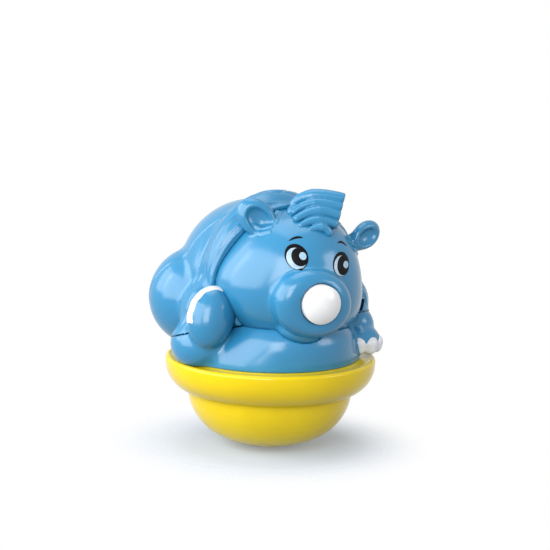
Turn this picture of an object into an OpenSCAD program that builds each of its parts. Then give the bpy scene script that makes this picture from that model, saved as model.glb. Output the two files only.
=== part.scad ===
// Wobble toy: a rhinoceros calf on a weighted round base. Millimetres, Z up, the calf faces -Y.

/* [Base] */
// Widest diameter of the yellow rim
rim_d = 70; // [69:0.5:72]
// Widest radius of the bowl
bowl_r = 27.5; // [27.3:0.1:27.7]
// Radius of the bowl's round bottom
bowl_round = 40; // [38:0.5:42]
// Radius of the bowl's rounded side
side_round = 18; // [17.5:0.1:18.5]
// Height of the rim's middle over the floor
rim_z = 28.8; // [28.6:0.1:29]
// Diameter of the small flat that the bowl rests on
rest_d = 12.8; // [11:0.1:14]
// Radius of the rim's rounded underside
rim_round = 10; // [9.6:0.1:10.4]
// Height of the rim's flat top over the bowl's centre
rim_lift = 1.2; // [1:0.1:1.6]
// Wall of the rim and the bowl
base_wall = 2.2; // [1.8:0.1:2.4]
// Thickness of the rim's deck
deck_t = 2; // [1.6:0.1:2.4]

/* [Animal] */
// Scale width of the head, which sets all its lobes
head_w = 50; // [48:0.5:51]
// Head centre in front of the base axis
head_fore = 12; // [11.5:0.1:12.5]
// Head centre to the calf's right of the base axis
head_side = 0.3; // [0:0.1:0.6]
// Head centre over the deck
head_rise = 27; // [26.5:0.1:27.5]
// Turn of the head to the calf's right
head_yaw = 12; // [9:1:15]
// Lean of the head to the calf's left
head_lean = 13; // [10:1:15]
// Nod of the head
head_nod = 4; // [2:1:6]
// Scale width of the body, which sets all its lobes
body_w = 54; // [53:0.25:55]
// Wall of the blue shells
shell_wall = 1.6; // [1.5:0.05:1.8]
// Height of the shell seam over the deck at the base axis
seam_rise = 10; // [9:0.25:11]
// Fall of the shell seam to the rear
seam_tilt = 17; // [14:1:19]

/* [Nose button] */
// Diameter of the button
button_d = 12.6; // [12:0.1:13]
// Height of the button's dome
button_dome = 2.4; // [1.8:0.1:3]
// Travel of the button
button_travel = 1.3; // [0.8:0.1:1.4]
// Distance of the button's rim in front of the head's centre
button_fore = 26; // [25.6:0.1:26.4]
// Distance of the button's axis below the head's centre
button_drop = 2; // [1.5:0.1:2.5]
// Wall of the button
button_wall = 1.3; // [1:0.1:1.5]

/* [Battery] */
// Diameter of an AAA cell
cell_d = 10.5; // [10.4:0.05:10.5]
// Length of an AAA cell with its tip
cell_l = 44.5; // [44:0.1:44.5]
// Play round a cell
cell_play = 0.2; // [0.1:0.05:0.25]
// Wall of the tray
tray_wall = 1.2; // [1:0.1:1.4]

/* [Power switch] */
// Travel of the knob from off to on
knob_travel = 3; // [2:0.25:3.5]
// Width of the knob's stub
knob_w = 3; // [2.5:0.25:3.5]
// Height of the knob's stub
knob_h = 2.6; // [2.2:0.1:2.8]

/* [Speaker] */
// Diameter of the speaker
speaker_d = 28; // [27:0.5:29]
// Diameter of a sound hole
sound_hole_d = 1.6; // [1.2:0.1:2]

/* [Fits] */
// Clearance of a sliding fit
slide_gap = 0.06; // [0.04:0.01:0.08]
// Gap between fixed mouldings
fit_gap = 0.2; // [0.15:0.05:0.3]
// Gap along a visible seam
seam_gap = 0.3; // [0.2:0.05:0.4]

/* [Hidden] */

$fn = 48;
// Overrun of cuts
over = 1;
// Size of a half space
far = rim_d * 4;
// Length of a post or a cut that a skin ends
run_out = rim_d / 2;

// Base levels
rim_r = rim_d / 2;
zc = rim_z;
deck_z = zc + rim_lift;
under_z = deck_z - deck_t;
rim_drop = 0.8;
lip_drop = 10;
bowl_lap = 1.7;
bowl_top = zc - lip_drop + bowl_lap;
rim_edge = 1.1;
dish_r = 6;
dish_deep = 0.35;

// Bowl outline: a bottom arc that runs into a side arc
bottom_z = sqrt(bowl_round ^ 2 - (rest_d / 2) ^ 2);
side_x = bowl_r - side_round;
side_sin = side_x / (bowl_round - side_round);
side_cos = sqrt(1 - side_sin ^ 2);
side_z = bottom_z - (bowl_round - side_round) * side_cos;

// Counterweight
slug_r = 21.5;
slug_z = 4;
slug_top = 20.2;
slug_gap = 0.4;
seat_w = 1.6;
post_r = 3.2;
post_top = 11;
land_t = 1.2;
weight_bite = 6;
slug_seat_r = 10.2;

// Screws
screw_r = 1.1;
pilot_r = 0.95;
pass_r = 1.3;
screw_head_r = 2.1;
screw_head_h = 1.4;
boss_r = 2.9;
// Space past a screw's tip
tip_gap = 1;

// Bowl screws
well_x = 10;
well_y = 18.5;
well_r = 2.7;
well_wall = 1;
well_z = 14;
well_floor = 2;
bowl_bite = 10;
peg_r = 1.8;
peg_l = 5;
screw_posts = [[well_x, well_y], [-well_x, well_y]];
peg_posts = [[well_x, -well_y], [-well_x, -well_y]];
bowl_posts = concat(screw_posts, peg_posts);

// Body screws
front_x = 18;
front_y = -15.5;
rear_x = 15.5;
rear_y = 19;
body_bite = 7;
front_posts = [[front_x, front_y], [-front_x, front_y]];
rear_posts = [[rear_x, rear_y], [-rear_x, rear_y]];
front_post_h = 9;
rear_post_h = 13;
flank_x = 21.5;
flank_y = 2;
flank_low = 5;
flank_high = 16;
flank_bite = 9.5;
flank_posts = [[flank_x, flank_y], [-flank_x, flank_y]];

// Battery tray
cell_r = cell_d / 2;
bore_r = cell_r + cell_play;
tip_l = 1;
tip_r = 1.9;
plate_t = 0.4;
spring_l = 4.1;
rib_w = 0.4;
cell_y = bore_r + rib_w / 2;
tray_in = cell_l + spring_l + plate_t;
tray_l = tray_in + 2 * tray_wall;
tray_w = 4 * bore_r + rib_w + 2 * tray_wall;
cell_drop = 1.6;
cell_show = 0.2;
cell_z = under_z - cell_drop;
tray_low = cell_z - cell_r + cell_show;
tray_top = cell_z + bore_r + tray_wall;
tray_round = 26.6;
tray_slack = 0.3;
ear_w = 8;
ear_boss_r = 2.4;
ear_out = 2 * ear_boss_r + tray_slack;
ear_t = 1.6;
ear_y = tray_w / 2 + tray_slack + ear_boss_r;
ear_boss_h = 4;
tray_bite = 4.5;
stand_x = 14;
stand_y = 5;
stand_r = 2.1;
stand_h = 2.6;
coil_wire = 0.45;
coil_r = 2.9;

// Main board and its parts
board_t = 1.6;
board_l = 34;
board_w = 18;
board_y = 5.5;
board_z = tray_top + stand_h;
main_bite = 3.2;
main_posts = [[stand_x, board_y + stand_y], [-stand_x, board_y - stand_y]];
chip_r = 4;
chip_h = 1.4;
chip_x = 3;
can_r = 2.6;
can_h = 7;
can_x = -7;
can_y = 4;
tilt_r = 1.9;
tilt_h = 6;
tilt_x = -6;
tilt_y = -5.2;
pin_gap = 0.02;

// Head frame and lobes, as shares of the head's width: centre, radii, blend
head_at = [-head_side, -head_fore, deck_z + head_rise];
head_turn = [head_nod, head_lean, -head_yaw];
head_lobe_shares = [
  [[0, 0.02, 0.08], [0.42, 0.41, 0.39], 0],
  [[0, 0.05, -0.09], [0.504, 0.41, 0.33], 0.16],
  [[0, -0.33, -0.052], [0.248, 0.19, 0.228], 0.045],
  [[0, -0.25, -0.292], [0.17, 0.17, 0.1], 0.05]];
neck_back = 5;
neck_lap = 2.5;
neck_plate_t = 2;
neck_plate_y = 9;
neck_plate_low = 16;
neck_hole_share = 0.24;
neck_post_shares = [[-0.304, 0.006], [0.304, 0.006], [0, 0.298]];
rib_t = 1.5;
head_bite = 5;

// Body lobes, as shares of the body's width, over the deck: centre, radii, blend
body_lobe_shares = [
  [[0, 0.185, 0.472], [0.5, 0.519, 0.509], 0],
  [[0, 0.13, 0.731], [0.278, 0.296, 0.278], 0.111],
  [[0.269, 0.417, 0.333], [0.304, 0.304, 0.326], 0.03],
  [[-0.269, 0.417, 0.333], [0.304, 0.304, 0.326], 0.03],
  [[0, -0.02, 0.5], [0.474, 0.2, 0.456], 0.074],
  [[0, 0, 0.009], [0.548, 0.548, 0.333], 0.074],
  [[0, -0.278, 0.148], [0.352, 0.278, 0.167], 0.093],
  [[-0.509, 0.019, 0.115], [0.17, 0.194, 0.157], 0.046],
  [[-0.444, 0.056, 0.296], [0.148, 0.185, 0.185], 0.056],
  [[0.5, -0.07, 0.305], [0.152, 0.167, 0.185], 0.056],
  [[0.472, -0.204, 0.167], [0.135, 0.139, 0.148], 0.056]];
body_core_share = [0, 0.06, 0.3];
body_at = [0, 0, deck_z];

// Ears, forelock, feet and folds, as shares of the head's or the body's width
ear_at_shares = [0.392, 0.02, 0.345];
ear_r_shares = [0.112, 0.064, 0.148];
ear_cup_shares = [0.08, 0.052, 0.11];
ear_cup_fore_share = 0.056;
ear_root_shares = [0.27, 0.03, 0.24];
ear_stem_share = 0.06;
ear_root_r_share = 0.078;
ear_turn = [-10, 58, 12];
lock_low_shares = [[-0.08, 0.05, 0.412], [0.05, -0.09, 0.49], [0.14, -0.2, 0.466]];
lock_high_shares = [[-0.112, 0.1, 0.448], [-0.01, 0.02, 0.56], [0.09, -0.1, 0.588]];
lock_r_share = 0.05;
lock_tip_share = 0.04;
lock_core_r_share = 0.06;
lock_core_shares = [0.05, 0.06, -0.03];
locks = 5;
fold_r_share = 0.022;
fold_core_share = 0.45;
fold_steps = 14;
fold_from = 15;
fold_sweep = 150;
fold_first = -0.5;
fold_pitch = 3.3;
foot_r_at_shares = [-0.519, -0.12, 0.287];
foot_r_shares = [0.137, 0.115, 0.178];
foot_r_turn = [-12, 14, -22];
foot_l_at_shares = [0.49, -0.3, 0.112];
foot_l_shares = [0.12, 0.118, 0.092];
toe_share = 0.05;
toe_r_angles = [95, 125, 155, 185];
toe_r_back_shares = [0.107, 0, 0.139];
toe_r_fore_shares = [0.101, -0.034, 0.132];
toe_l_angles = [250, 285, 320, 355];
toe_l_high_shares = [0.096, 0.0944, 0];
toe_l_low_shares = [0.0864, 0.085, -0.04];

// Nose button frame
button_r = button_d / 2;
sleeve_wall = 1.4;
sleeve_r = button_r + sleeve_wall;
skirt_l = 6;
flange_w = 0.8;
flange_t = 1.2;
flange_play = 0.35;
chamber_wall = 0.9;
chamber_r = button_r + flange_w + flange_play;
chamber_out = chamber_r + chamber_wall;
sleeve_front = 3.2;
guide_back = 16.5;
guide_flange_t = 3;
guide_flange_r = 11.8;
guide_screw_r = 12.4;
guide_bite = 6.2;
guide_angles = [90, 210, 330];
nose_board_r = 10.8;
nose_board_t = 1.2;
nose_board_screw_r = 9.6;
nose_board_bite = 3.4;
stem_r = 1.3;
stem_x = 3.3;
led_r = 1.5;
led_base_r = 1.9;
led_base_h = 0.8;
led_h = 4.4;
led_x = -2.6;
tact_w = 4;
tact_h = 3;
tact_pin_r = 1.1;
press_gap = 0.05;
sleeve_back = skirt_l - press_gap;
tact_pin_h = 1.6;
tact_top = -guide_back + tact_h + tact_pin_h;
stem_low = tact_top + button_travel + press_gap;
nose_coil_r = 6.75;
nose_wire = 0.5;
nose_turns = 3.5;

// Power switch frame at the rear
knob_z = 6.2;
switch_y = 21;
switch_l = 15;
switch_h = 5.4;
switch_t = 3.4;
switch_lip = 1;
knob_plate_l = 6.5;
knob_plate_h = 3.8;
knob_plate_t = 1.6;
knob_out = 31.8;
slot_play = 0.5;
switch_post_x = 9.6;
switch_ear_t = 1.4;
switch_bite = 3;

// Speaker frame at the rear
speaker_z = 26;
speaker_y = 26;
speaker_r = speaker_d / 2;
speaker_rim_t = 1.6;
basket_deep = 4.6;
basket_r = 8.6;
basket_wall = 0.6;
magnet_r = 7;
magnet_h = 3.4;
cone_r = 11.6;
cone_neck_r = 4;
cone_t = 0.4;
cone_deep = 3;
seat_ring_w = 2;
clamp_t = 1.6;
clamp_lap = 1.5;
clamp_ear = 17.6;
clamp_bite = 3.4;
clamp_angles = [30, 150, 270];
sound_rings = [0, 1, 2];
sound_pitch = 3.1;

// Leads
lead_r = 0.5;
lead_pitch = 1.6;
lead_arch = 2.9;
lead_span = 12.3;
lead_bend = 0.9;
lead_slope = 9;
lead_x = tray_in / 2 - plate_t / 2;

// Shape fields
function lobe(q, at, r) =
  let (a = q - at)
  let (k0 = norm([a.x / r.x, a.y / r.y, a.z / r.z]))
  let (k1 = norm([a.x / r.x ^ 2, a.y / r.y ^ 2, a.z / r.z ^ 2]))
  k1 == 0 ? -min(r) : k0 * (k0 - 1) / k1;
function blend(a, b, k) =
  let (h = max(k - abs(a - b), 0) / k)
  min(a, b) - h * h * k / 4;
function field(q, lobes, s, i) =
  let (d = lobe(q, lobes[i][0] * s, lobes[i][1] * s))
  i == 0 ? d : blend(field(q, lobes, s, i - 1), d, lobes[i][2] * s);
function reach(core, dir, lobes, s, level, lo, hi, n) =
  let (mid = (lo + hi) / 2)
  n == 0 ? mid :
  field(core + dir * mid, lobes, s, len(lobes) - 1) < level
    ? reach(core, dir, lobes, s, level, mid, hi, n - 1)
    : reach(core, dir, lobes, s, level, lo, mid, n - 1);
function on_skin(core, dir, lobes, s, level) =
  core + dir * reach(core, dir, lobes, s, level, 0, s, 16);

// A closed skin whose poles lie on the Y axis for a head and on the Z axis for a body
function way(a, b, front) =
  front ? [sin(a) * cos(b), -cos(a), -sin(a) * sin(b)] : [sin(a) * cos(b), sin(a) * sin(b), -cos(a)];
module skin(lobes, s, core, level, rings, sides, front, power) {
  tilt = [for (i = [1:rings - 1]) 180 * pow(i / rings, power)];
  body = [for (a = tilt) for (j = [0:sides - 1])
    on_skin(core, way(a, 360 * j / sides, front), lobes, s, level)];
  first = on_skin(core, way(0, 0, front), lobes, s, level);
  last = on_skin(core, way(180, 0, front), lobes, s, level);
  pts = concat([first], body, [last]);
  top = len(pts) - 1;
  caps = [for (j = [0:sides - 1]) let (k = (j + 1) % sides)
    each [[0, 1 + j, 1 + k], [top, top - sides + k, top - sides + j]]];
  walls = [for (i = [0:rings - 3]) for (j = [0:sides - 1])
    let (k = (j + 1) % sides, a = 1 + i * sides, b = a + sides)
    each [[a + j, b + j, b + k], [a + j, b + k, a + k]]];
  polyhedron(pts, concat(caps, walls));
}

// Round tube along a path
function side_of(d) = let (c = cross(d, abs(d.z) < 0.9 ? [0, 0, 1] : [1, 0, 0])) c / norm(c);
module tube(path, r, sides) {
  n = len(path);
  pts = [for (i = [0:n - 1])
    let (d0 = path[min(i + 1, n - 1)] - path[max(i - 1, 0)], d = d0 / norm(d0))
    let (u = side_of(d), v = cross(d, u))
    for (j = [0:sides - 1]) path[i] + r * (cos(360 * j / sides) * u + sin(360 * j / sides) * v)];
  ends = [[for (j = [0:sides - 1]) j], [for (j = [sides - 1:-1:0]) (n - 1) * sides + j]];
  walls = [for (i = [0:n - 2]) for (j = [0:sides - 1])
    let (k = (j + 1) % sides, a = i * sides, b = a + sides)
    each [[a + j, b + k, a + k], [a + j, b + j, b + k]]];
  polyhedron(pts, concat(ends, walls));
}
function coil(r0, r1, h, turns, steps) =
  [for (i = [0:turns * steps]) let (t = i / (turns * steps), a = 360 * i / steps)
    [(r0 + (r1 - r0) * t) * cos(a), (r0 + (r1 - r0) * t) * sin(a), h * t]];

// Screw that points up +Z with the underside of its head at zero
module screw(bite) {
  rotate_extrude() {
    square([screw_r, bite]);
    translate([0, -screw_head_h]) square([screw_head_r, screw_head_h]);
  }
}

// Frames
module at_head() {
  translate(head_at) rotate(head_turn) children();
}
module at_button() {
  at_head() translate([0, -button_fore, -button_drop]) rotate([90, 0, 0]) children();
}
module at_speaker() {
  translate([0, speaker_y, deck_z + speaker_z]) rotate([-90, 0, 0]) children();
}
module at_switch() {
  translate([0, switch_y, deck_z + knob_z]) rotate([-90, 0, 0]) children();
}

// Cutting spaces
module above_seam(gap) {
  translate([0, 0, deck_z + seam_rise]) rotate([-seam_tilt, 0, 0])
    translate([-far / 2, -far / 2, gap / 2]) cube(far);
}
module below_seam(gap) {
  translate([0, 0, deck_z + seam_rise]) rotate([-seam_tilt, 0, 0])
    translate([-far / 2, -far / 2, -far - gap / 2]) cube(far);
}
module before_neck(gap) {
  at_head() translate([-far / 2, -far + neck_back + gap, -far / 2]) cube(far);
}

// Skins
module head_skin(level, rings, sides) {
  at_head() skin(head_lobe_shares, head_w, [0, 0, 0], level, rings, sides, true, 1.25);
}
module body_skin(level, rings, sides) {
  translate(body_at)
    skin(body_lobe_shares, body_w, body_core_share * body_w, level, rings, sides, false, 1);
}
module head_space() {
  intersection() {
    head_skin(seam_gap, 26, 36);
    before_neck(seam_gap);
  }
}

// A post along +Z with a rib that runs out to the wall, both kept inside a skin by the caller
module ribbed_post(x, y, low, high) {
  translate([x, y, low]) cylinder(r = boss_r, h = high - low, $fn = 16);
  rotate(atan2(y, x)) translate([norm([x, y]), -rib_t / 2, low]) cube([run_out, rib_t, high - low]);
}
module pilots(spots, low, deep) {
  for (p = spots) translate([p.x, p.y, low - over]) cylinder(r = pilot_r, h = deep + over, $fn = 12);
}
module passes(spots, low, high) {
  for (p = spots) translate([p.x, p.y, low]) cylinder(r = pass_r, h = high - low, $fn = 12);
}

// Animal details
module egg(r, sides) {
  scale(r / r.x) sphere(r.x, $fn = sides);
}
module ear(side) {
  at = [side * ear_at_shares.x, ear_at_shares.y, ear_at_shares.z] * head_w;
  root = [side * ear_root_shares.x, ear_root_shares.y, ear_root_shares.z] * head_w;
  at_head() {
    difference() {
      translate(at) rotate([ear_turn.x, side * ear_turn.y, side * ear_turn.z])
        egg(ear_r_shares * head_w, 20);
      translate(at) rotate([ear_turn.x, side * ear_turn.y, side * ear_turn.z])
        translate([0, -ear_cup_fore_share * head_w, 0])
          egg(ear_cup_shares * head_w, 12);
    }
    hull() {
      translate(root) sphere(ear_root_r_share * head_w, $fn = 8);
      translate((root + 2 * at) / 3 + [0, ear_stem_share * head_w / 4, 0])
        sphere(ear_stem_share * head_w, $fn = 8);
    }
  }
}
module forelock() {
  at_head() for (i = [0:locks - 1]) {
    t = i / (locks - 1);
    line = (1 - t) * lock_low_shares * head_w + t * lock_high_shares * head_w;
    hull() {
      translate(line[0]) sphere(lock_r_share * head_w, $fn = 8);
      translate(line[1]) sphere(lock_r_share * head_w, $fn = 8);
    }
    hull() {
      translate(line[1]) sphere(lock_r_share * head_w, $fn = 8);
      translate(line[2]) sphere(lock_tip_share * head_w, $fn = 8);
    }
  }
  at_head() hull() for (p = concat(lock_low_shares, lock_high_shares))
    translate((p + lock_core_shares) * head_w) sphere(lock_core_r_share * head_w, $fn = 8);
}
// A raised rib round the neck on the body's skin
module neck_fold(back) {
  spots = [for (i = [0:fold_steps]) let (a = fold_from + fold_sweep * i / fold_steps)
    on_skin([0, back, fold_core_share * body_w], [cos(a), 0, sin(a)], body_lobe_shares, body_w, 0)];
  translate(body_at) for (i = [0:fold_steps - 1]) hull() {
    translate(spots[i]) sphere(fold_r_share * body_w, $fn = 6);
    translate(spots[i + 1]) sphere(fold_r_share * body_w, $fn = 6);
  }
}
module right_foot() {
  translate(body_at + foot_r_at_shares * body_w) rotate(foot_r_turn)
    egg(foot_r_shares * body_w, 24);
}
module left_foot() {
  translate(body_at + foot_l_at_shares * body_w)
    egg(foot_l_shares * body_w, 24);
}
module toe(spots) {
  hull() for (p = spots) translate(p) sphere(toe_share * body_w, $fn = 8);
}
module toes() {
  r = [toe_r_back_shares * body_w, toe_r_fore_shares * body_w];
  l = [toe_l_high_shares * body_w, toe_l_low_shares * body_w];
  translate(body_at + foot_r_at_shares * body_w) rotate(foot_r_turn) for (a = toe_r_angles)
    toe([for (p = r) [cos(a) * p.x, p.y, sin(a) * p.z]]);
  translate(body_at + foot_l_at_shares * body_w) for (a = toe_l_angles)
    toe([for (p = l) [cos(a) * p.x, sin(a) * p.y, p.z]]);
}
module feet() {
  right_foot();
  left_foot();
  toes();
}

// Blue shells
module head_shell() {
  color([0.38, 0.67, 0.9]) difference() {
    union() {
      difference() {
        union() {
          intersection() {
            head_skin(0, 26, 36);
            before_neck(0);
          }
          intersection() {
            union() {
              ear(1);
              ear(-1);
              forelock();
            }
            before_neck(-neck_lap - seam_gap);
          }
        }
        head_skin(-shell_wall, 18, 26);
      }
      intersection() {
        head_skin(-shell_wall / 2, 18, 26);
        union() {
          at_button() for (a = guide_angles) rotate(a)
            translate([guide_screw_r, 0, guide_flange_t - guide_back])
            cylinder(r = boss_r, h = guide_back, $fn = 24);
          at_head() rotate([-90, 0, 0]) for (p = neck_post_shares * head_w)
            ribbed_post(p.x, -p.y, -neck_back, neck_back - seam_gap);
        }
      }
      at_head() rotate([-90, 0, 0]) for (p = neck_post_shares * head_w)
        translate([p.x, -p.y, -neck_back]) cylinder(r = boss_r, h = neck_plate_y + neck_back, $fn = 24);
    }
    at_button() {
      translate([0, 0, -guide_back])
        cylinder(r = sleeve_r + fit_gap, h = guide_back - sleeve_front + fit_gap);
      translate([0, 0, -guide_back]) cylinder(r = button_r + seam_gap, h = guide_back + run_out);
      translate([0, 0, -guide_back])
        cylinder(r = chamber_out + fit_gap, h = guide_back - sleeve_back + flange_t / 2 + fit_gap);
      for (a = guide_angles) rotate(a) translate([guide_screw_r, 0, guide_flange_t - guide_back - over])
        cylinder(r = pilot_r, h = guide_bite - guide_flange_t + over + fit_gap, $fn = 12);
    }
    at_head() rotate([-90, 0, 0]) for (p = neck_post_shares * head_w)
      translate([p.x, -p.y, neck_plate_y - head_bite])
        cylinder(r = pilot_r, h = head_bite + over, $fn = 12);
  }
}
module back_shell() {
  color([0.42, 0.7, 0.92]) difference() {
    union() {
      difference() {
        intersection() {
          union() {
            body_skin(0, 26, 40);
            neck_fold(fold_first);
            neck_fold(fold_first + fold_pitch);
          }
          above_seam(seam_gap);
        }
        body_skin(-shell_wall, 20, 32);
      }
      intersection() {
        body_skin(-shell_wall / 2, 20, 32);
        above_seam(seam_gap);
        union() {
          for (p = rear_posts) ribbed_post(p.x, p.y, deck_z, deck_z + rear_post_h);
          for (p = flank_posts) ribbed_post(p.x, p.y, deck_z, deck_z + flank_high);
          difference() {
            at_head() rotate([-90, 0, 0]) translate([0, 0, neck_plate_y]) difference() {
              cylinder(r = head_w, h = neck_plate_t);
              translate([0, 0, -over]) cylinder(r = neck_hole_share * head_w, h = neck_plate_t + 2 * over);
            }
            translate([-far / 2, -far / 2, deck_z + neck_plate_low - far]) cube(far);
          }
          at_speaker() difference() {
            cylinder(r = speaker_r + seat_ring_w, h = run_out);
            translate([0, 0, -over]) cylinder(r = speaker_r - seat_ring_w / 2, h = run_out + 2 * over);
          }
          at_speaker() for (a = clamp_angles) rotate(a) translate([clamp_ear, 0, -speaker_rim_t])
            cylinder(r = boss_r, h = run_out, $fn = 24);
          at_switch() for (x = [switch_post_x, -switch_post_x]) translate([x, 0, switch_t + switch_lip])
            cylinder(r = boss_r, h = run_out, $fn = 24);
        }
      }
      for (p = rear_posts) translate([p.x, p.y, deck_z]) cylinder(r = boss_r, h = rear_post_h, $fn = 24);
    }
    head_space();
    before_neck(-neck_lap);
    pilots(rear_posts, deck_z, body_bite);
    pilots(flank_posts, deck_z + flank_low, flank_bite + tip_gap);
    at_speaker() {
      for (k = sound_rings) for (i = [0:max(0, 6 * k - 1)]) rotate(60 * i / max(k, 1))
        translate([k * sound_pitch, 0, over]) cylinder(r = sound_hole_d / 2, h = 2 * run_out, $fn = 8);
      for (a = clamp_angles) rotate(a) translate([clamp_ear, 0, -speaker_rim_t - over])
        cylinder(r = pilot_r, h = clamp_bite - clamp_t + over + fit_gap, $fn = 12);
    }
    at_switch() {
      translate([-(knob_w + knob_travel) / 2 - slot_play, -knob_h / 2 - slot_play, switch_t])
        cube([knob_w + knob_travel + 2 * slot_play, knob_h + 2 * slot_play, run_out]);
      for (x = [switch_post_x, -switch_post_x]) translate([x, 0, switch_t + switch_lip - over])
        cylinder(r = pilot_r, h = switch_bite - switch_ear_t + over + fit_gap, $fn = 12);
    }
    at_head() rotate([-90, 0, 0]) {
      passes([for (p = neck_post_shares * head_w) [p.x, -p.y]], neck_plate_y - over,
        neck_plate_y + neck_plate_t + over);
      for (p = neck_post_shares * head_w) translate([p.x, -p.y, -neck_back])
        cylinder(r = boss_r + fit_gap, h = neck_plate_y + neck_back, $fn = 24);
    }
  }
}
module belly_shell() {
  color([0.4, 0.68, 0.91]) difference() {
    union() {
      difference() {
        intersection() {
          union() {
            body_skin(0, 26, 40);
            feet();
          }
          below_seam(seam_gap);
        }
        body_skin(-shell_wall, 20, 32);
      }
      raised_foot();
      intersection() {
        body_skin(-shell_wall / 2, 20, 32);
        below_seam(seam_gap);
        union() {
          for (p = front_posts) ribbed_post(p.x, p.y, deck_z, deck_z + front_post_h);
          for (p = flank_posts) ribbed_post(p.x, p.y, deck_z + flank_low, deck_z + flank_high);
        }
      }
    }
    head_space();
    translate([-far / 2, -far / 2, deck_z - far]) cube(far);
    pilots(front_posts, deck_z, body_bite);
    passes(flank_posts, deck_z + flank_low - over, deck_z + flank_high);
    for (p = rear_posts) translate([p.x, p.y, deck_z - over])
      cylinder(r = boss_r + fit_gap, h = rear_post_h + over, $fn = 24);
  }
}
// The raised foot stands over the seam and stays with the belly
module raised_foot() {
  difference() {
    intersection() {
      feet();
      above_seam(-seam_gap);
    }
    body_skin(seam_gap, 26, 40);
  }
}

// Yellow base
module rim_outline() {
  intersection() {
    translate([rim_r - rim_round, zc - rim_drop]) circle(rim_round, $fn = 96);
    translate([0, zc - lip_drop]) square([rim_r, lip_drop - rim_drop]);
  }
  translate([0, zc - rim_drop]) square([rim_r, rim_drop + rim_lift - rim_edge]);
  translate([0, zc - rim_drop]) square([rim_r - rim_edge, rim_drop + rim_lift]);
  translate([rim_r - rim_edge, deck_z - rim_edge]) circle(rim_edge);
}
module bowl_outline(inset) {
  translate([side_x, side_z]) circle(side_round - inset, $fn = 96);
  intersection() {
    translate([0, bottom_z]) circle(bowl_round - inset, $fn = 96);
    polygon([[0, bottom_z], [0, bottom_z - 2 * bowl_round],
      [2 * bowl_round * side_sin, bottom_z - 2 * bowl_round * side_cos]]);
  }
}
module bowl_space(inset) {
  rotate_extrude($fn = 96) intersection() {
    bowl_outline(inset);
    square([rim_r, zc]);
  }
}
module base_rim() {
  color([1, 0.86, 0.05]) difference() {
    union() {
      rotate_extrude($fn = 96) difference() {
        rim_outline();
        intersection() {
          translate([rim_r - rim_round, zc - rim_drop]) circle(rim_round - base_wall, $fn = 96);
          translate([0, 0]) square([rim_r, zc - rim_drop]);
        }
        square([rim_r - rim_round, under_z]);
        translate([0, zc - rim_drop - fit_gap])
          square([rim_r - base_wall, under_z - zc + rim_drop + fit_gap]);
        intersection() {
          bowl_outline(-fit_gap / 2);
          square([rim_r, bowl_top + fit_gap]);
        }
        translate([rim_r - base_wall - base_wall / 2, deck_z + dish_r - dish_deep]) circle(dish_r);
      }
      for (p = bowl_posts) translate([p.x, p.y, well_z + well_floor])
        cylinder(r = boss_r, h = under_z - well_z - well_floor + deck_t / 2);
      for (p = peg_posts) translate([p.x, p.y, well_z + well_floor - peg_l])
        cylinder(r = peg_r, h = peg_l + over);
      for (y = [ear_y, -ear_y]) translate([0, y, under_z - ear_boss_h])
        cylinder(r = ear_boss_r, h = ear_boss_h + deck_t / 2);
    }
    translate([-tray_l / 2 - tray_slack, -tray_w / 2 - tray_slack, under_z - over])
      cube([tray_l + 2 * tray_slack, tray_w + 2 * tray_slack, deck_t + 2 * over]);
    for (p = screw_posts) translate([p.x, p.y, well_z])
      cylinder(r = pilot_r, h = bowl_bite + tip_gap);
    for (y = [ear_y, -ear_y]) translate([0, y, under_z - ear_boss_h - over])
      cylinder(r = pilot_r, h = ear_boss_h + deck_t + 2 * over);
    for (p = concat(front_posts, rear_posts)) translate([p.x, p.y, under_z - over])
      cylinder(r = pass_r, h = deck_t + 2 * over);
  }
}
module base_bowl() {
  color([1, 0.86, 0.05]) difference() {
    union() {
      rotate_extrude($fn = 96) intersection() {
        difference() {
          bowl_outline(0);
          bowl_outline(base_wall);
        }
        square([rim_r, bowl_top]);
      }
      intersection() {
        bowl_space(base_wall / 2);
        union() {
          for (p = bowl_posts) translate([p.x, p.y, 0])
            cylinder(r = well_r + well_wall, h = well_z + well_floor);
          cylinder(r = post_r, h = post_top);
          difference() {
            cylinder(r = slug_seat_r, h = slug_z);
            translate([0, 0, -over]) cylinder(r = slug_seat_r - seat_w, h = slug_z + 2 * over);
          }
        }
      }
    }
    for (p = screw_posts) {
      translate([p.x, p.y, -over]) cylinder(r = well_r, h = well_z + over);
      translate([p.x, p.y, well_z - over]) cylinder(r = pass_r, h = well_floor + 2 * over);
    }
    for (p = peg_posts) translate([p.x, p.y, well_z + well_floor - peg_l - fit_gap])
      cylinder(r = peg_r + fit_gap / 2, h = peg_l + fit_gap + over);
    translate([0, 0, post_top - weight_bite]) cylinder(r = pilot_r, h = weight_bite + over);
  }
}

// Weight
module counterweight() {
  color([0.3, 0.3, 0.32]) difference() {
    intersection() {
      translate([0, 0, slug_z]) cylinder(r = slug_r, h = slug_top - slug_z);
      bowl_space(base_wall + slug_gap);
    }
    translate([0, 0, slug_z - over]) cylinder(r = post_r + fit_gap, h = post_top - slug_z + over);
    cylinder(r = pass_r, h = slug_top);
    for (p = bowl_posts) translate([p.x, p.y, 0])
      cylinder(r = well_r + well_wall + slug_gap, h = slug_top + over);
    translate([0, 0, post_top + land_t]) cylinder(r = screw_head_r + 2 * fit_gap, h = slug_top);
  }
}
module weight_screw() {
  color([0.7, 0.7, 0.72]) translate([0, 0, post_top + land_t]) mirror([0, 0, 1]) screw(weight_bite);
}
module base_screws() {
  color([0.7, 0.7, 0.72]) for (p = screw_posts) translate([p.x, p.y, well_z]) screw(bowl_bite);
}
module body_screws() {
  color([0.7, 0.7, 0.72]) for (p = concat(front_posts, rear_posts)) translate([p.x, p.y, under_z])
    screw(body_bite + deck_t - tip_gap);
}
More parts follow.
